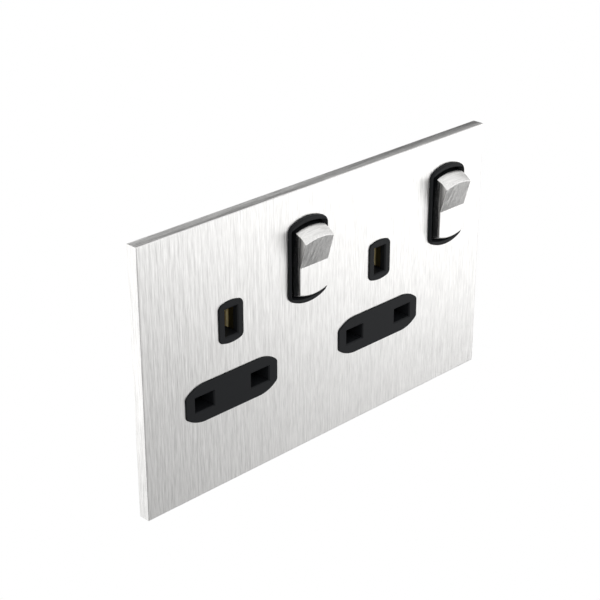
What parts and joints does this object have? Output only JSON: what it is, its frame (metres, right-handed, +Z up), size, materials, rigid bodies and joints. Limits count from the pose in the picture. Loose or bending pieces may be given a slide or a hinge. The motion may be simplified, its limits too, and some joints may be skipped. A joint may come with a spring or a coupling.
{
  "type": "switched wall socket outlet",
  "caption": "Screwless switched wall socket outlet with a flat brushed steel plate, black moulded inserts, square-pin slots and metal rocker switches.",
  "frame": {"origin": "middle of the front plate on the wall plane, between the two fixing screws", "axes": "+X right along the plate, +Y into the wall, +Z up"},
  "size_m": [0.146, 0.0335, 0.086],
  "materials": {
    "brushed_plate": "fine upright brushing",
    "black_moulding": "fine satin moulding",
    "cover_moulding": "satin moulding",
    "nylon": "natural moulding",
    "zinc_steel": "bright zinc plate",
    "brass": "pressed strip",
    "contact_silver": "plain contact metal",
    "spring_steel": "drawn wire"
  },
  "bodies": {
    "socket": {"front_plate": "brushed_plate", "clip_frame": "black_moulding", "mounting_frame": "zinc_steel", "front_housing": "black_moulding", "outlet_insert_1": "black_moulding", "outlet_insert_2": "black_moulding", "rear_cover": "cover_moulding", "fixing_screws": "zinc_steel", "frame_screws": "zinc_steel", "case_screws": "zinc_steel", "terminal_screws": "brass", "neutral_bar": "brass", "live_bar": "brass", "live_contact_1": "brass", "live_contact_2": "brass", "earth_bar": "brass", "neutral_terminal": "brass", "earth_terminal_1": "brass", "earth_terminal_2": "brass", "live_terminal": "brass", "fixed_tip_1": "contact_silver", "fixed_tip_2": "contact_silver", "shutter_spring_1": "spring_steel", "shutter_spring_2": "spring_steel"},
    "rocker_1": {"rocker_cap_1": "brushed_plate", "rocker_dolly_1": "black_moulding", "plunger_spring_1": "spring_steel"},
    "plunger_1": {"plunger_1": "nylon"},
    "blade_1": {"moving_contact_1": "brass", "moving_tip_1": "contact_silver"},
    "shutter_1": {"shutter_1": "black_moulding"},
    "rocker_2": {"rocker_cap_2": "brushed_plate", "rocker_dolly_2": "black_moulding", "plunger_spring_2": "spring_steel"},
    "plunger_2": {"plunger_2": "nylon"},
    "blade_2": {"moving_contact_2": "brass", "moving_tip_2": "contact_silver"},
    "shutter_2": {"shutter_2": "black_moulding"}
  },
  "joints": [
    {"name": "rocker_1_tilt", "type": "hinge", "parent": "socket", "child": "rocker_1", "pos_m": [-0.00803, -0.002, 0.02], "axis": [1, 0, 0], "range_deg": [-16, 0]},
    {"name": "plunger_1_slide", "type": "slide", "parent": "rocker_1", "child": "plunger_1", "axis": [0, -0.9903, -0.1392], "range_m": [0, 0.0008], "stiffness_N_per_m": 300, "springref_m": -0.006, "deforming": ["plunger_spring_1"]},
    {"name": "blade_1_tilt", "type": "hinge", "parent": "socket", "child": "blade_1", "pos_m": [-0.00803, 0.01, 0.02], "axis": [1, 0, 0], "range_deg": [0, 12]},
    {"name": "shutter_1_slide", "type": "slide", "parent": "socket", "child": "shutter_1", "axis": [0, 0, 1], "range_m": [0, 0.0056], "stiffness_N_per_m": 120, "springref_m": -0.006, "deforming": ["shutter_spring_1"]},
    {"name": "rocker_2_tilt", "type": "hinge", "parent": "socket", "child": "rocker_2", "pos_m": [0.05526, -0.002, 0.02], "axis": [1, 0, 0], "range_deg": [-16, 0]},
    {"name": "plunger_2_slide", "type": "slide", "parent": "rocker_2", "child": "plunger_2", "axis": [0, -0.9903, -0.1392], "range_m": [0, 0.0008], "stiffness_N_per_m": 300, "springref_m": -0.006, "deforming": ["plunger_spring_2"]},
    {"name": "blade_2_tilt", "type": "hinge", "parent": "socket", "child": "blade_2", "pos_m": [0.05526, 0.01, 0.02], "axis": [1, 0, 0], "range_deg": [0, 12]},
    {"name": "shutter_2_slide", "type": "slide", "parent": "socket", "child": "shutter_2", "axis": [0, 0, 1], "range_m": [0, 0.0056], "stiffness_N_per_m": 120, "springref_m": -0.006, "deforming": ["shutter_spring_2"]}
  ],
  "couplings": [
    {"joint": "blade_1_tilt", "follows": "rocker_1_tilt", "ratio": -0.75},
    {"joint": "blade_2_tilt", "follows": "rocker_2_tilt", "ratio": -0.75}
  ]
}
